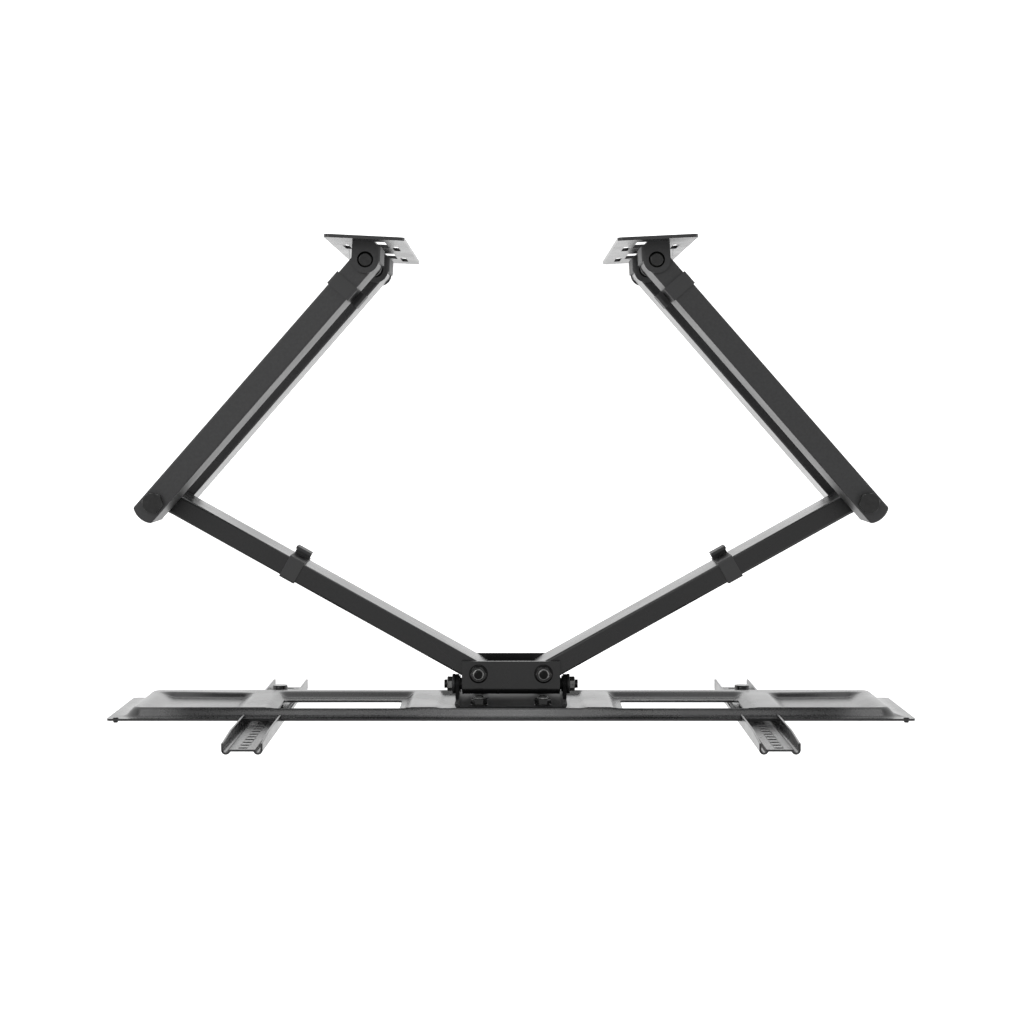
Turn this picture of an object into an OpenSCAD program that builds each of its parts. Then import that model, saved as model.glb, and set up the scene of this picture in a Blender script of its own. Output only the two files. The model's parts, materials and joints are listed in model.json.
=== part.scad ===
// Swing-arm wall mount for a flat screen, with two wall plates, two folding arm chains,
// a tilting head, a wide screen plate and two hook-on rails.
// X runs across the screen, Y runs from the screen toward the wall and Z is up.
// The wall plates and the rails stand on Z = 0, and the origin lies under the middle of the outline.

/* [Arms] */
// Wall arm length between its two pivots
wall_arm_len = 287.3; // [260:0.1:310]
// Angle of a wall arm to the wall at rest
wall_arm_rest = 48.9; // [44:0.1:54]
// Screen arm length between its two pivots
tv_arm_len = 330.2; // [300:0.1:350]
// Angle of a screen arm to the screen at rest
tv_arm_rest = 29.1; // [24:0.1:33]
// Height of the middle of the arms above the lower plate edges
axis_z = 189.5; // [185:0.5:194]
// Width of a wall arm bar
wall_bar_w = 20; // [16:0.5:20.4]
// Height of a wall arm bar
wall_bar_h = 60; // [50:1:64]
// Width of a screen arm
tv_bar_w = 18; // [15:0.5:19]
// Height of a screen arm
tv_bar_h = 64; // [54:1:70]
// Wall of the arm tubes
bar_wall = 2; // [1.5:0.1:2.5]
// Corner radius of the arm tubes
bar_corner_r = 2.4; // [1:0.1:3]
// End radius of a wall arm bar at the elbow
elbow_end_r = 15.5; // [12:0.5:18]
// End radius of a wall arm bar at the wall
wall_end_r = 10.2; // [10.2:0.1:10.4]
// End radius of a screen arm
tv_end_r = 10; // [9.5:0.1:10.5]
// Height between a wall arm bar and the screen arm
elbow_gap = 14.5; // [12:0.5:18]

/* [Wall plates] */
// Wall plate width
wall_plate_w = 71; // [64:1:90]
// Wall plate height
wall_plate_h = 330; // [326:1:380]
// Wall plate sheet thickness
wall_plate_t = 3; // [2:0.5:5]
// Wall plate corner radius
wall_plate_corner_r = 5; // [2:0.5:10]
// Turn of a wall plate at rest, its outer edge toward the wall
wall_plate_turn = 2.8; // [0:0.1:5]
// Distance from the wall pivot to the face of the wall plate
wall_standoff = 16; // [15:0.5:24]
// Lag screw hole diameter
lag_hole_d = 9; // [7:0.5:11]
// Distance between the two lag screw holes
lag_spacing = 290; // [286:1:296]
// Length of a lag screw slot
lag_slot_len = 24; // [16:1:34]
// Sheet thickness of the pivot brackets
bracket_t = 2.5; // [2:0.1:3]
// Side gap between a wall arm bar and the bracket web
bracket_side_gap = 0.5; // [0.4:0.1:1]

/* [Head] */
// Distance of each head pivot from the middle
head_pivot_x = 30; // [27:0.5:31]
// Head channel width
head_w = 90; // [88:1:94]
// Head channel sheet thickness
head_t = 3.5; // [2.5:0.5:4]
// Reach of the head from its pivots toward the screen
head_front = 19; // [17:0.5:19.5]
// Reach of the head from its pivots toward the wall
head_rear = 11.6; // [10:0.2:16]
// Outer bend radius of the head channel
head_bend_r = 6.5; // [5:0.5:9]
// Distance of the tilt axis from the head pivots, toward the screen
tilt_forward = 13.4; // [12.5:0.1:13.6]

/* [Screen plate] */
// Screen plate width
tv_plate_w = 732; // [700:1:800]
// Screen plate height
tv_plate_h = 150; // [146:1:160]
// Screen plate sheet thickness
tv_plate_t = 2; // [1.5:0.1:2.5]
// Height of the raised panel above the rim
panel_rise = 8.5; // [7:0.5:9]
// Distance from the tilt axis to the raised panel
panel_forward = 14.1; // [13.9:0.1:16]
// Width of the slope around the raised panel
panel_slope = 8; // [5:0.5:10]
// Height of the rim above and below the raised panel
rim_h = 6.5; // [6:0.5:8]
// Width of the rim at both ends of the raised panel
rim_end_w = 18; // [16:1:24]
// Corner radius of the screen plate
tv_plate_corner_r = 15; // [8:1:18]

/* [Rails] */
// Distance of each rail from the middle at rest
rail_x = 225; // [150:1:300]
// Rail length
rail_len = 418; // [412:1:440]
// Rail width
rail_w = 34.8; // [32:0.2:40]
// Rail sheet thickness
rail_t = 1.8; // [1.5:0.1:2.2]
// Radius of the two beads along a rail
bead_r = 4; // [3.5:0.1:4.4]
// Depth of the beads in front of the rail web
bead_depth = 2.6; // [2:0.1:3]
// Length of the taper at the top of a rail
rail_taper_len = 56; // [30:1:80]
// Distance between neighbouring slots
slot_pitch = 16; // [14:0.5:20]
// Number of slot places along a rail
slot_count = 26; // [20:1:26]
// Slot length across the rail
slot_len = 8; // [7:0.5:10]
// Slot height along the rail
slot_h = 6.2; // [5:0.1:6.6]

/* [Cable clips] */
// Distance of the wall arm clip from the wall pivot
wall_clip_place = 31; // [27:1:120]
// Length of a wall arm clip along the bar
wall_clip_len = 14; // [10:1:20]
// Distance of the screen arm clip from the elbow
tv_clip_place = 133; // [60:1:200]
// Length of a screen arm clip along the arm
tv_clip_len = 15; // [10:1:20]
// Wall of the clips
clip_t = 1.5; // [1.2:0.1:2]
// Depth of the cable duct of a clip
duct_depth = 5.5; // [4:0.5:8]

/* [Fasteners] */
// Diameter of the wall, head and plate bolts
small_bolt_d = 8; // [7:0.1:8]
// Diameter of the elbow bolts
elbow_bolt_d = 10; // [8:0.1:10]

/* [Hidden] */
$fn = 64;

// Colours
steel_black = [0.15, 0.15, 0.16];
bolt_black = [0.09, 0.09, 0.1];
plastic_black = [0.06, 0.06, 0.065];
zinc = [0.6, 0.61, 0.62];

// Clearances and overruns
cut = 1;
film = 0.01;
press_fit = 0.05;
pin_clear = 0.2;
plug_clear = 0.1;
clip_clear = 0.1;
washer_clear = 0.3;
spacer_clear = 0.2;
rail_clear = 0.4;
thread_run = 3;

// Bolts, nuts and washers
small_bolt_r = small_bolt_d / 2;
small_af = small_bolt_d * 13 / 8;
small_head_h = small_bolt_d * 5.3 / 8;
small_nut_h = small_bolt_d * 6.5 / 8;
elbow_bolt_r = elbow_bolt_d / 2;
elbow_af = elbow_bolt_d * 1.7;
elbow_head_h = elbow_bolt_d * 0.64;
elbow_nut_h = elbow_bolt_d * 0.8;
washer_r = small_bolt_d;
washer_t = 1.2;
thin_washer_gap = 1;
thin_washer_t = thin_washer_gap - washer_clear;

// Sleeves and plugs
small_sleeve_r = small_bolt_r + 2.5 * pin_clear + bar_wall;
elbow_sleeve_r = elbow_bolt_r + 2.5 * pin_clear + bar_wall;
plug_inset = bar_wall;

// Heights
tv_arm_z = axis_z - tv_bar_h / 2;
upper_bar_z = axis_z + tv_bar_h / 2 + elbow_gap;
lower_bar_z = axis_z - tv_bar_h / 2 - elbow_gap - wall_bar_h;
bracket_h = wall_bar_h + 2 * thin_washer_gap + 2 * bracket_t;
upper_bracket_z = upper_bar_z - thin_washer_gap - bracket_t;
lower_bracket_z = lower_bar_z - thin_washer_gap - bracket_t;
head_inner_h = tv_bar_h + 2 * thin_washer_gap;
head_h = head_inner_h + 2 * head_t;
plate_top = axis_z + tv_plate_h / 2;
plate_bottom = axis_z - tv_plate_h / 2;

// Pivots at rest, on the right side, measured from the row of the head pivots
elbow_x = head_pivot_x + tv_arm_len * cos(tv_arm_rest);
elbow_y = tv_arm_len * sin(tv_arm_rest);
wall_pivot_x = elbow_x - wall_arm_len * cos(wall_arm_rest);
wall_pivot_y = elbow_y + wall_arm_len * sin(wall_arm_rest);

// Depths of the screen side, toward the wall from the row of the head pivots
tilt_y = -tilt_forward;
panel_y = tilt_y - panel_forward;
rim_back_y = panel_y - panel_rise;
rim_front_y = rim_back_y - tv_plate_t;
rail_edge_y = rim_front_y - rail_clear;
rail_front_y = rail_edge_y - 1.6 * bead_r;
rail_web_y = rail_front_y + bead_depth;
hook_y = rim_back_y + rail_clear;

// The outline from front to back, and the shift that puts its middle on the origin
wall_face_reach = (wall_standoff + wall_plate_t) * cos(wall_plate_turn);
back_y = wall_pivot_y + wall_face_reach + wall_plate_w / 2 * sin(wall_plate_turn);
depth_shift = -(back_y + rail_front_y) / 2;

// Small shapes

// A rectangle around the origin with round corners
module rounded_rect(w, h, r) {
    square([w - 2 * r, h], center = true);
    square([w, h - 2 * r], center = true);
    for (x = [-1, 1], y = [-1, 1])
        translate([x * (w / 2 - r), y * (h / 2 - r)]) circle(r = r);
}

// A slot around the origin with round ends
module slot(len, w) {
    square([len - w, w], center = true);
    for (x = [-1, 1]) translate([x * (len - w) / 2, 0]) circle(d = w);
}

// A ring standing on its lower face
module ring(r, bore_r, h) {
    difference() {
        cylinder(h = h, r = r);
        translate([0, 0, -cut]) cylinder(h = h + 2 * cut, r = bore_r);
    }
}

// A hexagon block with its upper corners turned off
module hex_block(af, h) {
    corner = af / sqrt(3);
    intersection() {
        cylinder(h = h, r = corner, $fn = 6);
        cylinder(h = h, r1 = corner + h, r2 = af / 2);
    }
}

// A bolt hanging down from the underside of its head
module hex_bolt(d, af, head_h, len) {
    hex_block(af, head_h);
    translate([0, 0, -len]) cylinder(h = len + film, r = d / 2);
}

// A nut standing on its flat face
module hex_nut(d, af, h) {
    difference() {
        hex_block(af, h);
        translate([0, 0, -cut]) cylinder(h = h + 2 * cut, r = d / 2 + press_fit);
    }
}

// Placing

module placed() {
    translate([0, depth_shift, 0]) children();
}

// The side modules are drawn on the right and mirrored for the left
module on_side(side) {
    mirror([side < 0 ? 1 : 0, 0, 0]) placed() children();
}

// Origin on the right head pivot, X along the screen arm
module tv_arm_frame() {
    translate([head_pivot_x, 0, 0]) rotate([0, 0, tv_arm_rest]) children();
}

// Origin on the right elbow, X along the wall arm
module wall_arm_frame() {
    translate([elbow_x, elbow_y, 0]) rotate([0, 0, 180 - wall_arm_rest]) children();
}

// Origin on the right wall pivot, Y square to the wall plate
module wall_frame() {
    translate([wall_pivot_x, wall_pivot_y, 0]) rotate([0, 0, -wall_plate_turn]) children();
}

// Origin on the middle of the screen side, drawn in X and Z, its third axis toward the screen
module facing_screen(y) {
    translate([0, y, axis_z]) rotate([90, 0, 0]) children();
}

// Arms

// Top view of a bar from its near pivot at the origin to its far pivot
module bar_outline(len, w, near_r, far_r) {
    translate([0, -w / 2]) square([len, w]);
    intersection() {
        circle(r = near_r);
        translate([-near_r, -w / 2]) square([near_r, w]);
    }
    translate([len, 0]) intersection() {
        circle(r = far_r);
        translate([0, -w / 2]) square([far_r, w]);
    }
}

// A rectangular tube with round ends and a pivot hole at each end
module tube_bar(len, w, h, near_r, far_r, near_hole_r, far_hole_r) {
    full_len = len + near_r + far_r;
    difference() {
        intersection() {
            linear_extrude(h) bar_outline(len, w, near_r, far_r);
            translate([-near_r, 0, h / 2]) rotate([90, 0, 90])
                linear_extrude(full_len) rounded_rect(w, h, bar_corner_r);
        }
        translate([-near_r - cut, -w / 2 + bar_wall, bar_wall])
            cube([full_len + 2 * cut, w - 2 * bar_wall, h - 2 * bar_wall]);
        translate([0, 0, -cut]) cylinder(h = h + 2 * cut, r = near_hole_r);
        translate([len, 0, -cut]) cylinder(h = h + 2 * cut, r = far_hole_r);
    }
}

// A plastic plug that closes a tube end beyond its sleeve, on the side of negative X
module end_plug(w, h, end_r, sleeve_r) {
    plug_w = w - 2 * bar_wall - 2 * plug_clear;
    plug_h = h - 2 * bar_wall - 2 * plug_clear;
    translate([0, 0, bar_wall + plug_clear]) difference() {
        linear_extrude(plug_h) intersection() {
            circle(r = end_r);
            translate([-end_r, -plug_w / 2]) square([end_r - plug_inset, plug_w]);
        }
        translate([0, 0, -cut]) cylinder(h = plug_h + 2 * cut, r = sleeve_r + plug_clear);
    }
}

// A clip round a bar, its open cable duct on the side of positive Y
module cable_clip(w, h, len) {
    inner_w = w + 2 * clip_clear;
    inner_h = h + 2 * clip_clear;
    outer_h = inner_h + 2 * clip_t;
    outer_w = inner_w + clip_t + duct_depth + clip_t;
    lip_h = 3 * clip_t;
    duct_h = h - 2 * lip_h;
    slit_h = duct_h / 4;
    rotate([90, 0, 90]) linear_extrude(len, center = true) difference() {
        translate([outer_w / 2 - inner_w / 2 - clip_t, 0]) rounded_rect(outer_w, outer_h, 2 * clip_t);
        square([inner_w, inner_h], center = true);
        translate([0, -duct_h / 2]) square([inner_w / 2 + duct_depth, duct_h]);
        translate([0, -slit_h / 2]) square([outer_w, slit_h]);
    }
}

module tv_arm(side) {
    color(steel_black) on_side(side) tv_arm_frame() translate([0, 0, tv_arm_z])
        tube_bar(tv_arm_len, tv_bar_w, tv_bar_h, tv_end_r, tv_end_r,
            small_sleeve_r + press_fit, elbow_sleeve_r + press_fit);
}

module tv_arm_sleeves(side) {
    color(zinc) on_side(side) tv_arm_frame() translate([0, 0, tv_arm_z]) {
        ring(small_sleeve_r, small_bolt_r + pin_clear, tv_bar_h);
        translate([tv_arm_len, 0, 0]) ring(elbow_sleeve_r, elbow_bolt_r + pin_clear, tv_bar_h);
    }
}

module tv_arm_plugs(side) {
    color(plastic_black) on_side(side) tv_arm_frame() translate([0, 0, tv_arm_z]) {
        end_plug(tv_bar_w, tv_bar_h, tv_end_r, small_sleeve_r);
        translate([tv_arm_len, 0, 0]) rotate([0, 0, 180])
            end_plug(tv_bar_w, tv_bar_h, tv_end_r, elbow_sleeve_r);
    }
}

module tv_arm_clip(side) {
    color(plastic_black) on_side(side) tv_arm_frame()
        translate([tv_arm_len - tv_clip_place, 0, axis_z]) cable_clip(tv_bar_w, tv_bar_h, tv_clip_len);
}

module wall_arm_bar(side, z) {
    color(steel_black) on_side(side) wall_arm_frame() translate([0, 0, z])
        tube_bar(wall_arm_len, wall_bar_w, wall_bar_h, elbow_end_r, wall_end_r,
            elbow_sleeve_r + press_fit, small_sleeve_r + press_fit);
}

module wall_arm_sleeves(side) {
    color(zinc) on_side(side) wall_arm_frame() for (z = [upper_bar_z, lower_bar_z])
        translate([0, 0, z]) {
            ring(elbow_sleeve_r, elbow_bolt_r + pin_clear, wall_bar_h);
            translate([wall_arm_len, 0, 0]) ring(small_sleeve_r, small_bolt_r + pin_clear, wall_bar_h);
        }
}

module wall_arm_plugs(side) {
    color(plastic_black) on_side(side) wall_arm_frame() for (z = [upper_bar_z, lower_bar_z])
        translate([0, 0, z]) {
            end_plug(wall_bar_w, wall_bar_h, elbow_end_r, elbow_sleeve_r);
            translate([wall_arm_len, 0, 0]) rotate([0, 0, 180])
                end_plug(wall_bar_w, wall_bar_h, wall_end_r, small_sleeve_r);
        }
}

module wall_arm_clip(side) {
    color(plastic_black) on_side(side) wall_arm_frame()
        translate([wall_arm_len - wall_clip_place, 0, upper_bar_z + wall_bar_h / 2])
            cable_clip(wall_bar_w, wall_bar_h, wall_clip_len);
}

// Elbows

module elbow_bolt(side) {
    top_z = upper_bar_z + wall_bar_h;
    grip = top_z - lower_bar_z;
    color(bolt_black) on_side(side) wall_arm_frame() translate([0, 0, top_z])
        hex_bolt(elbow_bolt_d, elbow_af, elbow_head_h, grip + elbow_nut_h + thread_run);
}

module elbow_nut(side) {
    color(bolt_black) on_side(side) wall_arm_frame() translate([0, 0, lower_bar_z])
        mirror([0, 0, 1]) hex_nut(elbow_bolt_d, elbow_af, elbow_nut_h);
}

module elbow_spacers(side) {
    spacer_r = wall_bar_w / 2 - bracket_side_gap;
    spacer_h = elbow_gap - spacer_clear;
    color(bolt_black) on_side(side) wall_arm_frame() {
        translate([0, 0, upper_bar_z - spacer_h]) ring(spacer_r, elbow_bolt_r + pin_clear, spacer_h);
        translate([0, 0, lower_bar_z + wall_bar_h]) ring(spacer_r, elbow_bolt_r + pin_clear, spacer_h);
    }
}

// Wall plates and their brackets

bracket_web_x = wall_bar_w / 2 + bracket_side_gap;
bracket_half_w = bracket_web_x + bracket_t;
bracket_bend_r = 1.6 * bracket_t;
bracket_web_gap = 1.5 * bracket_t;
bracket_web_reach = bracket_t / 2;
plate_window_w = 2.5 * bracket_t;
plate_window_h = 10 * bracket_t;

// A bent U of sheet with its web on the inner side and its ears butting on the wall plate
module wall_bracket(side, z) {
    color(steel_black) on_side(side) wall_frame() translate([0, 0, z]) difference() {
        intersection() {
            union() {
                for (ear_z = [0, bracket_h - bracket_t]) translate([0, 0, ear_z])
                    linear_extrude(bracket_t) {
                        circle(r = bracket_half_w);
                        translate([-bracket_half_w, 0]) square([2 * bracket_half_w, wall_standoff]);
                    }
                translate([-bracket_half_w, -bracket_web_reach, 0])
                    cube([bracket_bend_r, wall_standoff + bracket_web_reach - bracket_web_gap, bracket_h]);
            }
            translate([bracket_bend_r / 2, 0, bracket_h / 2]) rotate([90, 0, 0])
                linear_extrude(2 * (wall_standoff + bracket_half_w), center = true)
                    rounded_rect(2 * bracket_half_w + bracket_bend_r, bracket_h, bracket_bend_r);
        }
        translate([-bracket_web_x, -bracket_half_w, bracket_t])
            cube([2 * bracket_half_w, bracket_half_w + wall_standoff + cut, bracket_h - 2 * bracket_t]);
        translate([0, 0, -cut]) cylinder(h = bracket_h + 2 * cut, r = small_bolt_r + pin_clear);
    }
}

module wall_plate(side) {
    window_x = -bracket_half_w - plate_window_w;
    slot_z = [plate_bottom / 2, axis_z];
    color(steel_black) on_side(side) wall_frame()
        translate([0, wall_standoff + wall_plate_t, wall_plate_h / 2]) rotate([90, 0, 0])
            linear_extrude(wall_plate_t) difference() {
                rounded_rect(wall_plate_w, wall_plate_h, wall_plate_corner_r);
                for (s = [-1, 1]) translate([0, s * lag_spacing / 2]) circle(d = lag_hole_d);
                for (z = slot_z) translate([0, z - wall_plate_h / 2]) slot(lag_slot_len, lag_hole_d);
                for (z = [upper_bracket_z, lower_bracket_z])
                    translate([window_x, z + bracket_h - plate_window_h - wall_plate_h / 2])
                        square([plate_window_w, plate_window_h]);
            }
}

// What lies on one pivot bolt, from the underside of its head
pivot_grip = bracket_h + 2 * washer_t;

module each_wall_bracket() {
    for (z = [upper_bracket_z, lower_bracket_z]) translate([0, 0, z]) children();
}

module wall_pivot_bolts(side) {
    color(bolt_black) on_side(side) wall_frame() each_wall_bracket()
        translate([0, 0, bracket_h + washer_t])
            hex_bolt(small_bolt_d, small_af, small_head_h, pivot_grip + small_nut_h + thread_run);
}

module wall_pivot_nuts(side) {
    color(bolt_black) on_side(side) wall_frame() each_wall_bracket()
        translate([0, 0, -washer_t]) mirror([0, 0, 1]) hex_nut(small_bolt_d, small_af, small_nut_h);
}

module wall_pivot_washers(side) {
    bore_r = small_bolt_r + pin_clear;
    color(bolt_black) on_side(side) wall_frame() each_wall_bracket() {
        translate([0, 0, bracket_h]) ring(washer_r, bore_r, washer_t);
        translate([0, 0, bracket_h - bracket_t - thin_washer_t]) ring(washer_r, bore_r, thin_washer_t);
        translate([0, 0, bracket_t]) ring(washer_r, bore_r, thin_washer_t);
        translate([0, 0, -washer_t]) ring(washer_r, bore_r, washer_t);
    }
}

// Head

flange_t = head_t - bracket_side_gap;
flange_h = head_inner_h * 0.6;
flange_reach = head_front - 9.6 * 1;

// Side view of the head, rounded at the screen side and open to the wall
module head_side(front, rear, h, r) {
    translate([-front + r, -h / 2]) square([front + rear - r, h]);
    translate([-front, -h / 2 + r]) square([front + rear, h - 2 * r]);
    for (s = [-1, 1]) translate([-front + r, s * (h / 2 - r)]) circle(r = r);
}

module head_channel() {
    color(steel_black) placed() difference() {
        union() {
            translate([-head_w / 2, 0, axis_z]) rotate([90, 0, 90]) linear_extrude(head_w) difference() {
                head_side(head_front, head_rear, head_h, head_bend_r);
                head_side(head_front - head_t, head_rear + cut, head_inner_h, head_bend_r - head_t);
            }
            for (s = [-1, 1])
                translate([s * (head_w / 2 - flange_t / 2), (-head_front - flange_reach + head_t) / 2, axis_z])
                    cube([flange_t, head_front - flange_reach - head_t, flange_h], center = true);
        }
        for (s = [-1, 1]) {
            translate([s * head_pivot_x, 0, axis_z])
                cylinder(h = head_h + 2 * cut, r = small_bolt_r + pin_clear, center = true);
            translate([s * head_w / 2, tilt_y, axis_z]) rotate([0, 90, 0])
                cylinder(h = 4 * flange_t, r = small_bolt_r + press_fit, center = true);
        }
    }
}

module each_head_pivot() {
    for (s = [-1, 1]) translate([s * head_pivot_x, 0, axis_z]) children();
}

module head_pivot_bolts() {
    color(bolt_black) placed() each_head_pivot() translate([0, 0, -head_h / 2]) mirror([0, 0, 1])
        hex_bolt(small_bolt_d, small_af, small_head_h, head_h + small_nut_h + thread_run / 2);
}

module head_pivot_nuts() {
    color(bolt_black) placed() each_head_pivot() translate([0, 0, head_h / 2])
        hex_nut(small_bolt_d, small_af, small_nut_h);
}

module head_washers() {
    color(plastic_black) placed() each_head_pivot() for (s = [-1, 1])
        translate([0, 0, s * (head_inner_h - thin_washer_t) / 2 - thin_washer_t / 2])
            ring(washer_r, small_bolt_r + pin_clear, thin_washer_t);
}

// Tilt joint

tilt_gap = head_t;
ear_t = head_t - bracket_side_gap;
ear_x = head_w / 2 + tilt_gap;
tilt_nut_h = small_bolt_d;
outer_washer_x = ear_x + ear_t + washer_clear;
tilt_nut_x = outer_washer_x + washer_t;
stud_end_x = tilt_nut_x + tilt_nut_h + thread_run / 2;

// Both ends of the tilt axis, the third axis pointing outward from the middle
module each_tilt_end(x) {
    for (s = [-1, 1]) translate([0, tilt_y, axis_z]) rotate([0, s * 90, 0]) translate([0, 0, x]) children();
}

module tilt_studs() {
    stud_x = head_w / 2 - flange_t;
    color(bolt_black) placed() each_tilt_end(stud_x) cylinder(h = stud_end_x - stud_x, r = small_bolt_r);
}

module tilt_washers() {
    bore_r = small_bolt_r + press_fit;
    color(plastic_black) placed() {
        each_tilt_end(head_w / 2) ring(washer_r, bore_r, tilt_gap - washer_clear);
        each_tilt_end(outer_washer_x) ring(washer_r, bore_r, washer_t);
    }
}

module tilt_nuts() {
    color(bolt_black) placed() each_tilt_end(tilt_nut_x) hex_nut(small_bolt_d, small_af, tilt_nut_h);
}

// Screen bracket and plate

bracket_bolt_x = 29.3;
bracket_bolt_z = 49;
base_t = ear_t;
base_h = 2 * bracket_bolt_z + 3 * small_bolt_d;
base_window_h = head_h + 5;
ear_r = 9;
ear_root_h = base_window_h * 0.7;

module tv_bracket() {
    base_w = 2 * (ear_x + ear_t);
    color(steel_black) placed() difference() {
        union() {
            facing_screen(panel_y + base_t) linear_extrude(base_t) difference() {
                rounded_rect(base_w, base_h, small_bolt_r);
                rounded_rect(2 * ear_x - bracket_t, base_window_h, small_bolt_r);
            }
            for (s = [-1, 1]) translate([s * (ear_x + ear_t / 2), 0, axis_z]) rotate([90, 0, 90])
                linear_extrude(ear_t, center = true) {
                    translate([tilt_y, 0]) circle(r = ear_r);
                    polygon([
                        [panel_y, -ear_root_h / 2], [panel_y + base_t, -ear_root_h / 2],
                        [tilt_y, -ear_r], [tilt_y, ear_r],
                        [panel_y + base_t, ear_root_h / 2], [panel_y, ear_root_h / 2]
                    ]);
                }
        }
        translate([0, tilt_y, axis_z]) rotate([0, 90, 0])
            cylinder(h = base_w + 2 * cut, r = small_bolt_r + washer_clear, center = true);
        for (x = [-1, 1], z = [-1, 1])
            translate([x * bracket_bolt_x, panel_y, axis_z + z * bracket_bolt_z]) rotate([90, 0, 0])
                cylinder(h = 4 * base_t, r = small_bolt_r + pin_clear, center = true);
    }
}

// The four bolts, each drawn from the raised panel toward the screen
module each_bracket_bolt() {
    for (x = [-1, 1], z = [-1, 1])
        facing_screen(panel_y) translate([x * bracket_bolt_x, z * bracket_bolt_z, 0]) children();
}

module tv_bracket_bolts() {
    head_h = small_bolt_d * 0.4;
    color(bolt_black) placed() each_bracket_bolt() {
        translate([0, 0, tv_plate_t]) cylinder(h = head_h, r1 = washer_r, r2 = small_bolt_r);
        translate([0, 0, -base_t - small_nut_h - thread_run / 2])
            cylinder(h = base_t + small_nut_h + thread_run / 2 + tv_plate_t + film, r = small_bolt_r);
    }
}

module tv_bracket_nuts() {
    flange_nut_r = small_bolt_d * 17 / 16;
    color(zinc) placed() each_bracket_bolt() translate([0, 0, -base_t]) mirror([0, 0, 1]) {
        ring(flange_nut_r, small_bolt_r + press_fit, washer_t);
        translate([0, 0, washer_t]) hex_nut(small_bolt_d, small_af, small_nut_h - washer_t);
    }
}

// Raised panel: a tray whose floor is at the third axis's zero and whose mouth faces the screen
module tray(w, h, r, depth, slope) {
    hull() {
        linear_extrude(film) rounded_rect(w - 2 * slope, h - 2 * slope, r);
        translate([0, 0, depth - film]) linear_extrude(film) rounded_rect(w, h, r);
    }
}

// End pockets
pocket_in_x = 243;
pocket_out_x = 330;
pocket_top = 55;
pocket_low_in = -28;
pocket_low_out = -40;
pocket_depth = 5;
pocket_r = 8;

module pocket(grow, depth) {
    r = pocket_r + grow;
    floor_r = r - pocket_depth / 2;
    corners = [
        [pocket_in_x + pocket_r, pocket_low_in + pocket_r], [pocket_out_x - pocket_r, pocket_low_out + pocket_r],
        [pocket_out_x - pocket_r, pocket_top - pocket_r], [pocket_in_x + pocket_r, pocket_top - pocket_r]
    ];
    hull() for (p = corners) translate(p) {
        cylinder(h = film, r = r, $fn = 32);
        translate([0, 0, depth - film]) cylinder(h = film, r = floor_r, $fn = 32);
    }
}

// Windows above the middle of the panel, and stops at the ends of the upper rim
window_in_x = 102;
window_out_x = 215;
window_bottom = 31.5;
window_top = 58;
window_r = 4;
stop_x = 356;
stop_len = 3;
stop_h = 1.2;

module tv_plate() {
    panel_w = tv_plate_w - 2 * rim_end_w;
    panel_h = tv_plate_h - 2 * rim_h;
    inner_r = tv_plate_corner_r - tv_plate_t;
    inset = tv_plate_t * 0.6;
    color(steel_black) placed() facing_screen(panel_y) difference() {
        union() {
            difference() {
                union() {
                    tray(panel_w, panel_h, tv_plate_corner_r, panel_rise + film, panel_slope);
                    translate([0, 0, panel_rise]) linear_extrude(tv_plate_t)
                        rounded_rect(tv_plate_w, tv_plate_h, tv_plate_corner_r);
                }
                translate([0, 0, tv_plate_t])
                    tray(panel_w - 2 * inset, panel_h - 2 * inset, inner_r, panel_rise + film, panel_slope);
            }
            for (s = [0, 1]) mirror([s, 0, 0]) {
                pocket(tv_plate_t, pocket_depth + tv_plate_t);
                translate([stop_x, tv_plate_h / 2 - rim_h / 2, panel_rise - stop_h])
                    cylinder(h = stop_h + film, d = stop_len);
            }
        }
        for (s = [0, 1]) mirror([s, 0, 0]) {
            pocket(0, pocket_depth);
            translate([(window_in_x + window_out_x) / 2, (window_bottom + window_top) / 2, -cut])
                linear_extrude(panel_rise)
                    rounded_rect(window_out_x - window_in_x, window_top - window_bottom, window_r);
        }
        for (x = [-1, 1], z = [-1, 1]) translate([x * bracket_bolt_x, z * bracket_bolt_z, -cut])
            cylinder(h = tv_plate_t + 2 * cut, r = small_bolt_r + pin_clear);
    }
}

// Rails

rail_back_y = hook_y + 3.4;
rail_tip_y = rail_back_y - 3;
hook_lip = 5.5;
hook_shoulder = 12;
lock_z = plate_bottom - 8.5;
lock_bolt_d = 6;
lock_head_d = 14;
lock_head_h = 9;

// Top view of a rail with beads along both edges, flanges reaching back
module rail_profile() {
    web_half = rail_w / 2 - 2 * bead_r + rail_t;
    bead_y = rail_front_y + bead_r;
    translate([-web_half, rail_web_y]) square([2 * web_half, rail_t]);
    for (s = [-1, 1]) {
        translate([s * (rail_w / 2 - bead_r), bead_y]) difference() {
            circle(r = bead_r);
            circle(r = bead_r - rail_t);
            translate([-bead_r - cut, 0]) square([2 * (bead_r + cut), bead_r + cut]);
        }
        translate([s * (rail_w / 2 - rail_t / 2) - rail_t / 2, bead_y])
            square([rail_t, rail_back_y - bead_y]);
    }
}

// Side view of the space behind a rail: the taper at the top and the notch over the screen plate
module rail_clearing() {
    far_y = rail_back_y + cut;
    polygon([
        [rail_tip_y, rail_len + cut], [rail_tip_y, rail_len], [rail_back_y, rail_len - rail_taper_len],
        [far_y, rail_len - rail_taper_len], [far_y, rail_len + cut]
    ]);
    polygon([
        [rail_edge_y, plate_bottom - rail_clear], [rail_edge_y, plate_top + rail_clear],
        [hook_y, plate_top + rail_clear], [hook_y, plate_top - hook_lip],
        [far_y, plate_top - hook_lip], [far_y, plate_bottom - rail_clear]
    ]);
}

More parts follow.
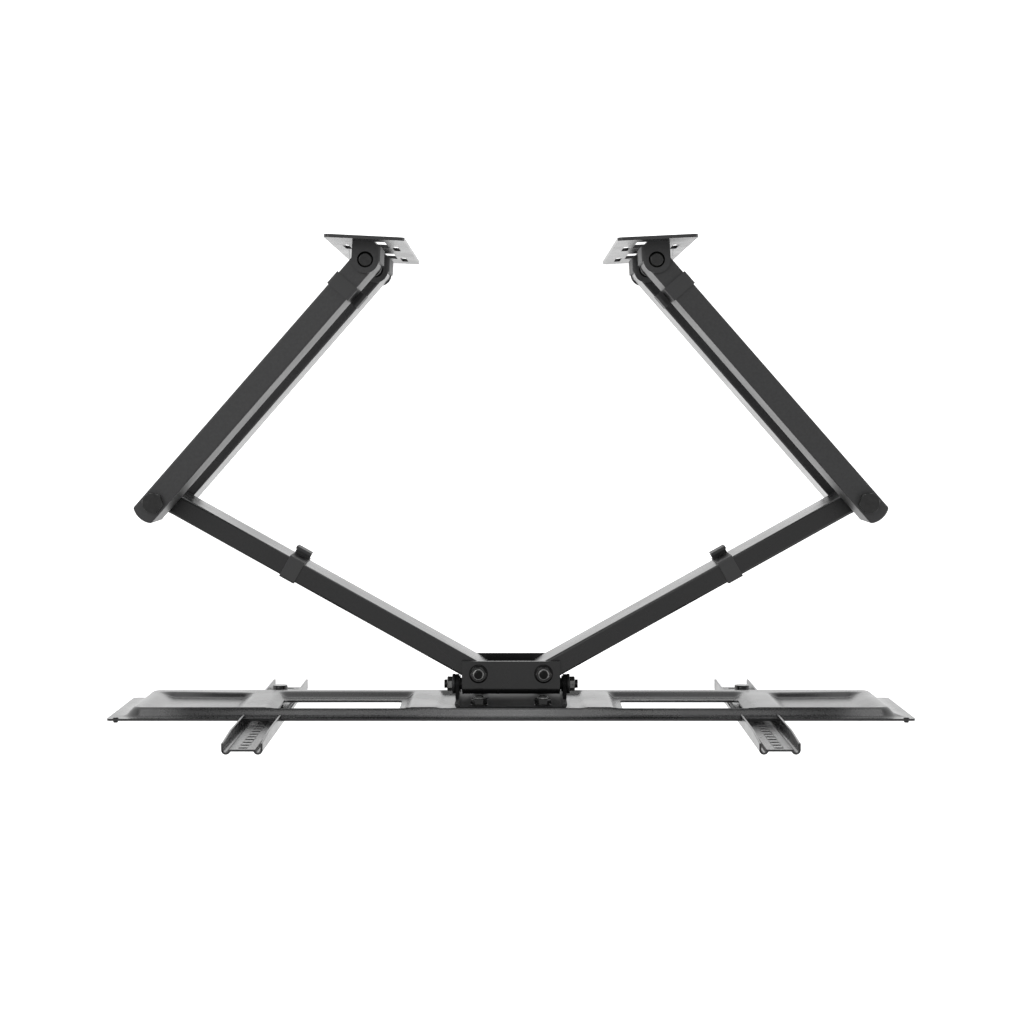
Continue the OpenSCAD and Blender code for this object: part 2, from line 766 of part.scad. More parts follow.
module rail(side) {
    slot_start = (rail_len - slot_pitch * (slot_count - 1)) / 2;
    color(steel_black) on_side(side) translate([rail_x, 0, 0]) difference() {
        linear_extrude(rail_len) rail_profile();
        rotate([90, 0, 90]) linear_extrude(rail_w + 2 * cut, center = true) rail_clearing();
        translate([0, rail_web_y + rail_t + cut, 0]) rotate([90, 0, 0]) linear_extrude(rail_t + 2 * cut)
            for (i = [0 : slot_count - 1]) {
                z = slot_start + i * slot_pitch;
                if (abs(z - lock_z) > slot_pitch / 2) translate([0, z]) slot(slot_len, slot_h);
            }
        translate([0, rail_web_y, lock_z]) rotate([90, 0, 0])
            cylinder(h = 4 * rail_t, d = lock_bolt_d + 2 * press_fit, center = true);
    }
}

module lock_screw(side) {
    back_y = rail_back_y + lock_head_h * 0.8;
    color(bolt_black) on_side(side) translate([rail_x, back_y, lock_z]) rotate([90, 0, 0]) {
        cylinder(h = lock_head_h, d = lock_head_d);
        cylinder(h = back_y - rail_web_y + rail_t / 2, d = lock_bolt_d);
    }
}

head_channel();
head_pivot_bolts();
head_pivot_nuts();
head_washers();
tilt_studs();
tilt_washers();
tilt_nuts();
tv_bracket();
tv_bracket_bolts();
tv_bracket_nuts();
tv_plate();
rail(-1);  // rail_left
rail(1);  // rail_right
lock_screw(-1);  // lock_screw_left
lock_screw(1);  // lock_screw_right
tv_arm(-1);  // tv_arm_left
tv_arm(1);  // tv_arm_right
tv_arm_sleeves(-1);  // tv_arm_sleeves_left
tv_arm_sleeves(1);  // tv_arm_sleeves_right
tv_arm_plugs(-1);  // tv_arm_plugs_left
tv_arm_plugs(1);  // tv_arm_plugs_right
tv_arm_clip(-1);  // tv_arm_clip_left
tv_arm_clip(1);  // tv_arm_clip_right
wall_arm_bar(-1, upper_bar_z);  // wall_arm_upper_left
wall_arm_bar(1, upper_bar_z);  // wall_arm_upper_right
wall_arm_bar(-1, lower_bar_z);  // wall_arm_lower_left
wall_arm_bar(1, lower_bar_z);  // wall_arm_lower_right
wall_arm_sleeves(-1);  // wall_arm_sleeves_left
wall_arm_sleeves(1);  // wall_arm_sleeves_right
wall_arm_plugs(-1);  // wall_arm_plugs_left
wall_arm_plugs(1);  // wall_arm_plugs_right
wall_arm_clip(-1);  // wall_arm_clip_left
wall_arm_clip(1);  // wall_arm_clip_right
elbow_bolt(-1);  // elbow_bolt_left
elbow_bolt(1);  // elbow_bolt_right
elbow_nut(-1);  // elbow_nut_left
elbow_nut(1);  // elbow_nut_right
elbow_spacers(-1);  // elbow_spacers_left
elbow_spacers(1);  // elbow_spacers_right
wall_plate(-1);  // wall_plate_left
wall_plate(1);  // wall_plate_right
wall_bracket(-1, upper_bracket_z);  // wall_bracket_upper_left
wall_bracket(1, upper_bracket_z);  // wall_bracket_upper_right
wall_bracket(-1, lower_bracket_z);  // wall_bracket_lower_left
wall_bracket(1, lower_bracket_z);  // wall_bracket_lower_right
wall_pivot_bolts(-1);  // wall_pivot_bolts_left
wall_pivot_bolts(1);  // wall_pivot_bolts_right
wall_pivot_nuts(-1);  // wall_pivot_nuts_left
wall_pivot_nuts(1);  // wall_pivot_nuts_right
wall_pivot_washers(-1);  // wall_pivot_washers_left
wall_pivot_washers(1);  // wall_pivot_washers_right
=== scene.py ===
import json
import math
import bpy
import bmesh
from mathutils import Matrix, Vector
from mathutils.geometry import tessellate_polygon


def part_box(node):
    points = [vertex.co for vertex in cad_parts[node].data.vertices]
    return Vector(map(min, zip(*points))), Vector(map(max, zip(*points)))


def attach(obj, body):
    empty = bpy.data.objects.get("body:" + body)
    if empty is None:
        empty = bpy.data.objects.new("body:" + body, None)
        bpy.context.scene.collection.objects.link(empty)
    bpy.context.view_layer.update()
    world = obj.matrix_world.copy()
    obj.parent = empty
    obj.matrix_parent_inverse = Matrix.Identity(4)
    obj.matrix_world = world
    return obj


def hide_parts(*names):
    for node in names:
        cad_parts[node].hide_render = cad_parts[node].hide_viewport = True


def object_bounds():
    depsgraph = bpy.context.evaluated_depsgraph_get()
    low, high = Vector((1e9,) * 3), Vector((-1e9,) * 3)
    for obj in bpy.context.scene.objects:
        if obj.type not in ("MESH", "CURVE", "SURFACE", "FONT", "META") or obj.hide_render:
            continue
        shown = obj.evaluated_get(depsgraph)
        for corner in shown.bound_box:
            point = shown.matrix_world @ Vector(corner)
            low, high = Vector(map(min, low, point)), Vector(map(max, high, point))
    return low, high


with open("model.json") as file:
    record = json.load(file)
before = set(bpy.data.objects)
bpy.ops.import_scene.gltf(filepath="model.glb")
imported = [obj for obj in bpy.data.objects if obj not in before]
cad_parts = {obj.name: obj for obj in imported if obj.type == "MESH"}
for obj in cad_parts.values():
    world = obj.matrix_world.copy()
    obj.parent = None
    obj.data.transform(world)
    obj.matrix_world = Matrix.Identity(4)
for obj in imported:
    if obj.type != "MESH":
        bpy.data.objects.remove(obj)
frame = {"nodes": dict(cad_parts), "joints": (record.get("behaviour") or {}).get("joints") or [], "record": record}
cad_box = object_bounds()

# Places that come from the frame are in metres, and the sizes of pieces are in millimetres
MM = 0.001
SIDES = (("left", -1), ("right", 1))
UP, DOWN, TO_WALL, TO_SCREEN = (0, 0, 1), (0, 0, -1), (0, 1, 0), (0, -1, 0)
STEEL, HARDWARE, PLASTIC = "black_steel", "black_hardware", "black_plastic"

# The photograph: straight down, with the vanishing point above the middle of the picture
PHOTO_SIDE = 1024
FOCAL_PIXELS = 2250
VANISHING_PIXEL = (512, 406)
SENSOR_MM = 36

# The camera's place in metres
CAMERA_HEIGHT = 2.2985
CAMERA_X = 0.0009
CAMERA_FROM_HEAD_ROW = 0.2468


def joint_place(name):
    """Where a joint is in the frame."""
    return Vector(next(j for j in frame["joints"] if j["name"] == name)["pos_m"])


def add_object(name, data):
    """A new object at the origin of the scene."""
    added = bpy.data.objects.new(name, data)
    bpy.context.scene.collection.objects.link(added)
    return added


def make_camera():
    data = bpy.data.cameras.new("camera")
    data.lens = FOCAL_PIXELS * SENSOR_MM / PHOTO_SIDE
    data.sensor_width = SENSOR_MM
    data.shift_x = (PHOTO_SIDE / 2 - VANISHING_PIXEL[0]) / PHOTO_SIDE
    data.shift_y = (VANISHING_PIXEL[1] - PHOTO_SIDE / 2) / PHOTO_SIDE
    data.clip_start = 0.1
    data.clip_end = 50
    camera = add_object("camera", data)
    camera.location = (CAMERA_X, joint_place("head_pivot_left").y + CAMERA_FROM_HEAD_ROW, CAMERA_HEIGHT)
    bpy.context.scene.camera = camera


# Materials

def new_material(name):
    """A material with its node tree, its shader and a position in metres, the same on every piece."""
    material = bpy.data.materials.new(name)
    material.use_nodes = True
    nodes = material.node_tree.nodes
    place = nodes.new("ShaderNodeTexCoord")
    return material, material.node_tree, nodes["Principled BSDF"], place.outputs["Object"]


def noise(tree, place, scale, detail=2, rough=0.5):
    node = tree.nodes.new("ShaderNodeTexNoise")
    node.inputs["Scale"].default_value = scale
    node.inputs["Detail"].default_value = detail
    node.inputs["Roughness"].default_value = rough
    tree.links.new(place, node.inputs["Vector"])
    return node.outputs["Fac"]


def spread(tree, value, low, high, from_low=0.3, from_high=0.7):
    """Maps a noise value to a range."""
    node = tree.nodes.new("ShaderNodeMapRange")
    node.inputs["From Min"].default_value = from_low
    node.inputs["From Max"].default_value = from_high
    node.inputs["To Min"].default_value = low
    node.inputs["To Max"].default_value = high
    tree.links.new(value, node.inputs["Value"])
    return node.outputs["Result"]


def paint(tree, shader, pattern, dark, light, cloud, rough):
    """A colour between dark and light that follows a pattern, and a roughness that follows a cloud."""
    mix = tree.nodes.new("ShaderNodeMix")
    mix.data_type = "RGBA"
    mix.inputs["A"].default_value = (*dark, 1)
    mix.inputs["B"].default_value = (*light, 1)
    tree.links.new(spread(tree, pattern, 0, 1), mix.inputs["Factor"])
    tree.links.new(mix.outputs["Result"], shader.inputs["Base Color"])
    tree.links.new(spread(tree, cloud, *rough), shader.inputs["Roughness"])


def bump(tree, shader, height, strength, distance):
    """Relief on the surface, with distance in metres."""
    node = tree.nodes.new("ShaderNodeBump")
    node.inputs["Strength"].default_value = strength
    node.inputs["Distance"].default_value = distance
    tree.links.new(height, node.inputs["Height"])
    tree.links.new(node.outputs["Normal"], shader.inputs["Normal"])


def grey(value, blue=1.0):
    """A grey whose blue is a share of its red and green."""
    return value, value, value * blue


def powder_coat(name, dark, light, rough, specular=0.45):
    """Black powder coat: a soft cloud in the gloss, a fine mottle in the colour and an orange peel."""
    material, tree, shader, place = new_material(name)
    cloud = noise(tree, place, scale=18, detail=3)
    mottle = noise(tree, place, scale=420, detail=4, rough=0.6)
    peel = noise(tree, place, scale=1100)
    paint(tree, shader, mottle, grey(dark, 1.05), grey(light, 1.04), cloud, rough)
    shader.inputs["Specular IOR Level"].default_value = specular
    bump(tree, shader, peel, strength=0.2, distance=0.0001)
    return material


def black_oxide(name, dark, light, specular, metallic):
    """Blackened steel of bolts, nuts and washers, a little oily."""
    material, tree, shader, place = new_material(name)
    cloud = noise(tree, place, scale=260, detail=4)
    grain = noise(tree, place, scale=2600, detail=1)
    paint(tree, shader, cloud, grey(dark), grey(light, 0.98), cloud, (0.16, 0.28))
    shader.inputs["Specular IOR Level"].default_value = specular
    shader.inputs["Metallic"].default_value = metallic
    bump(tree, shader, grain, strength=0.15, distance=0.00006)
    return material


def moulded_plastic():
    """Matt black plastic with a spark-eroded grain."""
    material, tree, shader, place = new_material("moulded_plastic")
    cloud = noise(tree, place, scale=40)
    grain = noise(tree, place, scale=2200)
    paint(tree, shader, cloud, (0.012, 0.012, 0.013), grey(0.017), cloud, (0.5, 0.6))
    bump(tree, shader, grain, strength=0.3, distance=0.00008)
    return material


def zinc_plate():
    """Zinc plated steel, bright with a faint mottle."""
    material, tree, shader, place = new_material("zinc_plate")
    cloud = noise(tree, place, scale=320, detail=5)
    paint(tree, shader, cloud, (0.42, 0.42, 0.41), (0.6, 0.6, 0.58), cloud, (0.22, 0.4))
    shader.inputs["Metallic"].default_value = 1.0
    return material


MATERIALS = {
    STEEL: powder_coat("powder_coat", 0.011, 0.02, (0.23, 0.29)),
    HARDWARE: black_oxide("black_oxide", 0.004, 0.012, 0.4, 0.15),
    PLASTIC: moulded_plastic(),
    "zinc_steel": zinc_plate(),
}

# Coats of single pieces, matched to how they look. The shaded and matt coats are darker copies of the powder coat,
# and their dark colour is painted shade. The bent and upper coats differ only in roughness. The near black oxide
# is painted shade in rings and gaps, and the pale metallic oxide is a painted highlight on collars and nuts.
SHADED_STEEL = powder_coat("shaded_coat", 0.003, 0.008, (0.24, 0.3), 0.4)
# A rougher copy of the powder coat with a darker colour and less gloss: the roughness is a matt finish, and the
# darkness is painted shade.
MATT_SHADE_STEEL = powder_coat("matt_painted_shade_coat", 0.004, 0.009, (0.55, 0.65), 0.22)
BENT_STEEL = powder_coat("bent_coat", 0.011, 0.02, (0.5, 0.6))
UPPER_STEEL = powder_coat("upper_coat", 0.011, 0.02, (0.4, 0.46))
# A near black with little gloss for nut flanges, pin seats and bolt ends: painted shade in rings and gaps.
PAINTED_SHADE_BLACK = black_oxide("painted_shade_black", 0.002, 0.004, 0.1, 0)
# A pale metallic black for nut collars and tilt nuts: a painted highlight.
PAINTED_GLINT_BLACK = black_oxide("painted_glint_black", 0.06, 0.2, 0.5, 0.7)


def recoat(piece, material):
    piece.data.materials[0] = material


# Rounded edges, and the look of the CAD nodes

EDGE_WIDTH = {STEEL: 0.5, HARDWARE: 0.3, PLASTIC: 0.4, "zinc_steel": 0.25}
WELD_REACH = 0.002


def soften(piece, width, segments=2, angle=35, weight=80):
    """A rounding along each edge that turns by more than an angle, shaded so that flat faces stay flat."""
    edge = piece.modifiers.new("edge", "BEVEL")
    edge.width = width * MM
    edge.segments = segments
    edge.limit_method = "ANGLE"
    edge.angle_limit = math.radians(angle)
    edge.harden_normals = True
    even = piece.modifiers.new("even", "WEIGHTED_NORMAL")
    even.weight = weight
    even.keep_sharp = True


def smooth(mesh):
    for face in mesh.polygons:
        face.use_smooth = True


def dress_cad_nodes():
    """Gives every CAD node its material and a small rounding along its sharp edges."""
    for part in frame["record"]["subparts"]:
        piece = frame["nodes"][part["node"]]
        slot = part["material_slot"]
        piece.data.materials.clear()
        piece.data.materials.append(MATERIALS[slot])
        smooth(piece.data)
        weld = piece.modifiers.new("weld", "WELD")
        weld.merge_threshold = WELD_REACH * MM
        soften(piece, EDGE_WIDTH[slot])
    # The head channel gets the shaded coat, whose darker colour is painted shade.
    recoat(frame["nodes"]["head_channel"], SHADED_STEEL)


# Turned pieces, threads and welds

# A thread: steps in a turn, steps in which it fades out, and its section as (pitches, shares of the radius)
THREAD_STEPS = 28
THREAD_FADE = 8
THREAD_SECTION = ((-0.24, -0.02), (0, 0.055), (0.24, -0.02))

# A weld bead: its mesh, its number of ripples, and a ripple's and the tips' share of the radius
BEAD_RINGS, BEAD_COLUMNS = 33, 14
BEAD_RIPPLES, BEAD_RIPPLE, BEAD_TIP = 9, 0.13, 0.15


def shape_piece(name, mesh, body, slot):
    """A smooth mesh as a piece with the material of its slot, riding on a body."""
    mesh.materials.append(MATERIALS[slot])
    smooth(mesh)
    piece = add_object(name, mesh)
    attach(piece, body)
    return piece


def add_piece(name, vertices, faces, body, slot):
    """A piece from its vertices, in metres, and faces."""
    mesh = bpy.data.meshes.new(name)
    mesh.from_pydata([tuple(v) for v in vertices], [], faces)
    mesh.validate()
    return shape_piece(name, mesh, body, slot)


def turned(axis):
    """Rotation that lays +Z on an axis."""
    return Vector(axis).to_track_quat("Z", "Y").to_matrix()


def tube_faces(rows, columns):
    """Faces of a tube with closed ends, whose vertices run round it row by row."""
    faces = []
    for row in range(rows - 1):
        a, b = row * columns, (row + 1) * columns
        faces += [(a + k, a + (k + 1) % columns, b + (k + 1) % columns, b + k) for k in range(columns)]
    faces.append(tuple(range(columns))[::-1])
    faces.append(tuple((rows - 1) * columns + k for k in range(columns)))
    return faces


def lathe(name, body, slot, base, axis, profile, segments=40, ridges=0, ridge=0.0):
    """A turned piece from (radius, height) pairs. With ridges, every other column stands out by ridge."""
    turn, base = turned(axis), Vector(base)
    columns = 2 * ridges or segments
    vertices = []
    for r, h in profile:
        for k in range(columns):
            out = r + (ridge if ridges and k % 2 else 0)
            angle = 2 * math.pi * k / columns
            vertices.append(base + turn @ (Vector((out * math.cos(angle), out * math.sin(angle), h)) * MM))
    return add_piece(name, vertices, tube_faces(len(profile), columns), body, slot)


def thread_ridge(name, body, base, axis, radius, length, pitch):
    """The ridge of a screw thread on a shank, from base along axis, fading at both ends."""
    turn, base = turned(axis), Vector(base)
    steps = int((length - pitch * 0.5) / pitch * THREAD_STEPS)
    vertices, faces = [], []
    for i in range(steps + 1):
        angle = 2 * math.pi * i / THREAD_STEPS
        fade = min(1.0, i / THREAD_FADE, (steps - i) / THREAD_FADE)
        z = pitch * 0.25 + pitch * i / THREAD_STEPS
        for dz, r in THREAD_SECTION:
            reach = radius * (1 + (r if r < 0 else r * fade))
            point = Vector((reach * math.cos(angle), reach * math.sin(angle), z + dz * pitch))
            vertices.append(base + turn @ (point * MM))
        if i:
            a = 3 * (i - 1)
            faces += [(a, a + 3, a + 4, a + 1), (a + 1, a + 4, a + 5, a + 2), (a + 2, a + 5, a + 3, a)]
    faces += [(0, 1, 2), (3 * steps + 2, 3 * steps + 1, 3 * steps)]
    return add_piece(name, vertices, faces, body, HARDWARE)


def weld_bead(name, body, start, end, radius):
    """A row of overlapping weld ripples between two points."""
    along = end - start
    turn = turned(along)
    vertices = []
    for i in range(BEAD_RINGS):
        t = i / (BEAD_RINGS - 1)
        tip = math.sqrt(max(0.0, 1 - (2 * t - 1) ** 8))
        ripple = 1 + BEAD_RIPPLE * abs(math.sin(t * BEAD_RIPPLES * math.pi))
        r = radius * MM * (BEAD_TIP + (1 - BEAD_TIP) * tip) * ripple
        for k in range(BEAD_COLUMNS):
            angle = 2 * math.pi * k / BEAD_COLUMNS
            vertices.append(start + along * t + turn @ Vector((r * math.cos(angle), r * math.sin(angle), 0)))
    return add_piece(name, vertices, tube_faces(BEAD_RINGS, BEAD_COLUMNS), body, STEEL)


def flange_nut(name, body, base, axis, across, flange_r, height, bore):
    """A hex nut with a flange and a locking collar. Gives back the flange."""
    flange = lathe("flange_" + name, body, HARDWARE, base, axis,
                   [(flange_r, 0), (flange_r, 0.7), (flange_r - 0.9, 1.3), (across / 2 - 0.2, 2.0)])
    # The flange gets the near black, a painted shade ring round the nut.
    recoat(flange, PAINTED_SHADE_BLACK)
    corner = across / 2 / math.cos(math.pi / 6)
    hexagon = lathe("hex_" + name, body, HARDWARE, base, axis,
                    [(corner, 1.0), (corner, height - 1.3), (across / 2 - 0.1, height - 0.6)], segments=6)
    soften(hexagon, 0.35)
    collar = lathe("collar_" + name, body, HARDWARE, base, axis,
                   [(bore + 1.1, height - 0.9), (bore + 1.0, height), (bore + 0.5, height + 0.35)])
    # The collar gets the pale metallic black, a painted highlight.
    recoat(collar, PAINTED_GLINT_BLACK)
    return flange


# Flat outlines as solids

def arc(x, y, r, start, end, steps=8):
    """Points of an arc between two angles in degrees."""
    return [(x + r * math.cos(math.radians(start + (end - start) * k / steps)),
             y + r * math.sin(math.radians(start + (end - start) * k / steps))) for k in range(steps + 1)]


def circle(x, y, r, steps=32):
    return arc(x, y, r, 0, 360, steps)[:-1]


def round_box(x0, x1, y0, y1, r):
    """A rectangle with round corners."""
    return (arc(x1 - r, y1 - r, r, 0, 90) + arc(x0 + r, y1 - r, r, 90, 180)
            + arc(x0 + r, y0 + r, r, 180, 270) + arc(x1 - r, y0 + r, r, 270, 360))


def walls(bm, first, second):
    """Faces between two rings of vertices."""
    for k in range(len(first)):
        n = (k + 1) % len(first)
        bm.faces.new((first[k], first[n], second[n], second[k]))


def solid_mesh(name, bm):
    """The finished mesh of a closed solid, with its faces turned outward."""
    bmesh.ops.recalc_face_normals(bm, faces=bm.faces)
    mesh = bpy.data.meshes.new(name)
    bm.to_mesh(mesh)
    bm.free()
    return mesh


def cut_sheet(name, body, slot, loops, low, high, place, edge=0.4, segments=2, cuts=()):
    """A solid of a flat outline with holes. place turns (u, v, w) in mm into the frame, w runs from low to
    high, and cuts are values of u where the sheet gets a line to bend along."""
    bm = bmesh.new()
    flat = [p for loop in loops for p in loop]
    rings = [[bm.verts.new((u, v, w)) for u, v in flat] for w in (low, high)]
    caps = [range(len(flat))] if len(loops) == 1 else tessellate_polygon(
        [[Vector((u, v, 0)) for u, v in loop] for loop in loops])
    for ring in rings:
        for cap in caps:
            bm.faces.new([ring[i] for i in cap])
    start = 0
    for loop in loops:
        end = start + len(loop)
        walls(bm, rings[0][start:end], rings[1][start:end])
        start = end
    for u in cuts:
        bmesh.ops.bisect_plane(bm, geom=bm.verts[:] + bm.edges[:] + bm.faces[:], dist=1e-5,
                               plane_co=(u, 0, 0), plane_no=(1, 0, 0))
    for vertex in bm.verts:
        vertex.co = place(*vertex.co)
    piece = shape_piece(name, solid_mesh(name, bm), body, slot)
    soften(piece, edge, segments)
    return piece


def bent(path, along, depth):
    """A place on a bent sheet, along its outer face and depth toward the inside, which is on the left. path
    is (x, y, heading, steps), and a step is a straight length or a left turn (degrees, outer radius)."""
    x, y, heading, steps = path
    heading = math.radians(heading)
    for number, step in enumerate(steps):
        if isinstance(step, tuple):
            angle, radius = math.radians(step[0]), step[1]
            x, y = x - radius * math.sin(heading), y + radius * math.cos(heading)
            if along <= angle * radius:
                heading += along / radius
                return x + (radius - depth) * math.sin(heading), y - (radius - depth) * math.cos(heading)
            heading += angle
            x, y = x + radius * math.sin(heading), y - radius * math.cos(heading)
            along -= angle * radius
        else:
            if along <= step or number == len(steps) - 1:
                return (x + along * math.cos(heading) - depth * math.sin(heading),
                        y + along * math.sin(heading) + depth * math.cos(heading))
            x, y = x + step * math.cos(heading), y + step * math.sin(heading)
            along -= step


def bend_lines(path, cuts_per_bend=6):
    """The cuts that a bent sheet needs, and its whole length."""
    lines, along = [], 0
    for step in path[3]:
        if isinstance(step, tuple):
            length = math.radians(step[0]) * step[1]
            lines += [along + length * k / cuts_per_bend for k in range(cuts_per_bend + 1)]
        else:
            length = step
        along += length
    return lines, along


def local_frame(origin, angle, side):
    """Turns (u, v, w) in mm into the frame. u runs at an angle to +X on the right half, mirrored on the
    left, and w runs up from Z 0."""
    c, s = math.cos(math.radians(angle)), math.sin(math.radians(angle))
    x0, y0 = abs(origin.x), origin.y

    def place(u, v, w):
        return Vector((side * (x0 + (u * c - v * s) * MM), y0 + (u * s + v * c) * MM, w * MM))
    return place


# The screen plate, pressed from one sheet

TILT = joint_place("tilt")

# The raised panel's distance from the tilt axis toward the screen
PANEL_FORWARD = 14.1

# The outline: half its width and height, and its corner radius
HALF_W, HALF_H, OUTLINE_R = 366, 75, 4

# The raised panel: half its width, its edges above and below the tilt axis, and its corner radius
FLAT_W, FLAT_H, FLAT_LOW, FLAT_R = 344.5, 60.5, 68, 9

# How far the rim lies from the panel toward the screen, the slope's width, and the sheet's thickness
RISE, SLOPE, SHEET = 8.5, 8, 2

# The bracket's seat: its depth, and half its width and height with the widths of their slopes
SEAT_DEPTH, SEAT_W, SEAT_SLOPE_W, SEAT_H, SEAT_SLOPE_H = 3.2, 68.8, 4.8, 60.6, 2.4

# A recess: its depth, its edges and the widths of its slopes at the inner and outer end, below and above.
# The pocket's lower edge falls toward the plate's end
WINDOW_RECESS = {"depth": 5.2, "x": (92, 223), "z": (-54, 60.5), "slopes": (6, 8, 8, 3)}
END_POCKET = {"depth": 4.8, "x": (245, 337), "z": (-44, 57), "slopes": (9, 14, 6.5, 7)}
POCKET_FALL, POCKET_LEVEL_X = 9 / 88, 246

# Holes: the bolts' places, and a window as two edges across, two edges in height and a corner radius.
# The cut reaches from the screen side of the panel to its wall side
BOLT_PLACES = [(x, z) for x in (-29.33, 29.33) for z in (-46, 46)]
BOLT_HOLE_R = 4.2
WINDOW = (103.2, 215.1, -27, 50, 4)
CUT_REACH = (-20, 6)

# Where the grid of the sheet is fine, its fine and coarse steps, and the least step
FINE_X = [(60, 72), (88, 101), (212, 226), (242, 257), (320, 350), (360, 366)]
FINE_Z = [(-75, -33), (46, 75)]
STEPS_X, STEPS_Z, LEAST_STEP = (1.5, 7), (1.5, 6), 0.01

# The small pins on the ends of the upper rim
STOP_X, STOP_Z = 358, 71.75
STOP_PROFILE = [(2.1, -0.9), (2.6, -0.5), (2.6, 0.2), (2.25, 0.5), (2.25, 3.4), (1.9, 3.8)]


def plate_place(x, y, z):
    """A place in the frame, from mm across, from the raised panel toward the wall, and above the tilt."""
    return Vector((x * MM, TILT.y + (y - PANEL_FORWARD) * MM, TILT.z + z * MM))


def ramp(t, soft=0.22):
    """0 to 1 along a straight slope with rounded ends."""
    def area(v):
        return 0 if v <= 0 else v * v / 2 if v < 1 else v - 0.5
    return (area(t + soft) - area(t - soft)) / (2 * soft)


def recess_depth(x, z, recess, fall=0.0):
    """Depth of a recess, whose lower edge is moved down by fall."""
    (x0, x1), (z0, z1), (inner, outer, below, above) = recess["x"], recess["z"], recess["slopes"]
    return (recess["depth"] * ramp((x - x0) / inner) * ramp((x1 - x) / outer)
            * ramp((z - z0 + fall) / below) * ramp((z1 - z) / above))


def plate_depth(x, z):
    """How far the sheet lies from the raised panel toward the screen, in mm."""
    x = abs(x)
    qx, qz = x - FLAT_W + FLAT_R, (z - FLAT_H if z > 0 else -z - FLAT_LOW) + FLAT_R
    outside = math.hypot(max(qx, 0), max(qz, 0)) + min(max(qx, qz), 0) - FLAT_R
    tray = RISE * ramp(outside / SLOPE)
    seat = SEAT_DEPTH * ramp((SEAT_W - x) / SEAT_SLOPE_W) * ramp((SEAT_H - abs(z)) / SEAT_SLOPE_H)
    window = recess_depth(x, z, WINDOW_RECESS)
    pocket = recess_depth(x, z, END_POCKET, POCKET_FALL * (x - POCKET_LEVEL_X))
    return max(tray, seat, window, pocket)


def spaced(zones, low, high, fine, coarse):
    """Grid lines, fine inside the zones and coarse between them."""
    lines, place = [low], low
    while place < high - LEAST_STEP:
        near = any(a - fine <= place < b for a, b in zones)
        ahead = min([a for a, b in zones if a > place + LEAST_STEP] + [high])
        place = min(place + (fine if near else min(coarse, max(ahead - place, fine))), high)
        lines.append(place)
    return lines


def round_corner(x, z):
    """A grid point, moved inward where the plate's outer corners are round."""
    inner_w, inner_h = HALF_W - OUTLINE_R, HALF_H - OUTLINE_R
    over_x, over_z = abs(x) - inner_w, abs(z) - inner_h
    if over_x <= 0 or over_z <= 0:
        return x, z
    scale = max(over_x, over_z) / math.hypot(over_x, over_z)
    return math.copysign(inner_w + over_x * scale, x), math.copysign(inner_h + over_z * scale, z)


def make_cutter():
    """A solid for the bolt holes and windows, which is removed once they are cut."""
    outlines = [circle(x, z, BOLT_HOLE_R) for x, z in BOLT_PLACES]
    outlines += [[(side * x, z) for x, z in round_box(*WINDOW)] for side in (-1, 1)]
    bm = bmesh.new()
    for outline in outlines:
        front, back = [[bm.verts.new(plate_place(x, y, z)) for x, z in outline] for y in CUT_REACH]
        bm.faces.new(front)
        bm.faces.new(back)
        walls(bm, front, back)
    return add_object("cutter", solid_mesh("cutter", bm))


def make_plate():
    """The pressed plate with its rim, panel, recesses, windows and holes."""
    xs = spaced([(-b, -a) for a, b in FINE_X[::-1]] + FINE_X, -HALF_W, HALF_W, *STEPS_X)
    zs = spaced(FINE_Z, -HALF_H, HALF_H, *STEPS_Z)
    vertices = []
    for z in zs:
        for x in xs:
            px, pz = round_corner(x, z)
            vertices.append(plate_place(px, -plate_depth(x, z), pz))
    columns = len(xs)
    corners = [row * columns + k for row in range(len(zs) - 1) for k in range(columns - 1)]
    faces = [(a, a + 1, a + columns + 1, a + columns) for a in corners]
    plate = add_piece("pressed_plate", vertices, faces, "screen_side", STEEL)
    sheet = plate.modifiers.new("sheet", "SOLIDIFY")
    sheet.thickness = SHEET * MM
    sheet.offset = -1 if plate.data.polygons[0].normal.y > 0 else 1
    sheet.use_even_offset = True
    cutter = make_cutter()
    holes = plate.modifiers.new("holes", "BOOLEAN")
    holes.operation = "DIFFERENCE"
    holes.solver = "EXACT"
    holes.object = cutter
    bpy.context.view_layer.update()
    shaped = bpy.data.meshes.new_from_object(plate.evaluated_get(bpy.context.evaluated_depsgraph_get()))
    plate.modifiers.clear()
    plate.data = shaped
    bpy.data.objects.remove(cutter)
    smooth(shaped)
    soften(plate, 0.4, angle=60, weight=50)
    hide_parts("tv_plate")


def make_plate_stops():
    for name, side in SIDES:
        place = plate_place(side * STOP_X, -RISE, STOP_Z)
        lathe("stop_" + name, "screen_side", HARDWARE, place, TO_SCREEN, STOP_PROFILE)


# Arms: half their width, the radii of their ends, and the clip's place back from the far pivot. A level is
# the heights of a tube's lower and upper face

WALL_BAR = {"half": 10.7, "near_r": 18.5, "far_r": 10.8, "clip_back": 31, "clip_length": 14}
WALL_LEVELS = (("upper", 236, 296), ("lower", 83, 143))
SCREEN_BAR = {"half": 9.4, "near_r": 10, "far_r": 10, "clip_back": 133, "clip_length": 15}
SCREEN_LEVEL = (157.5, 221.5)
BAR_EDGE, BAR_EDGE_STEPS = 2.2, 5

# A plug's distance from the tube's sides, and from its lower and upper face, and its reach out and in
PLUG_INSET, PLUG_DROP, PLUG_PROUD, PLUG_DEPTH = 1.9, 2.4, 0.22, 2

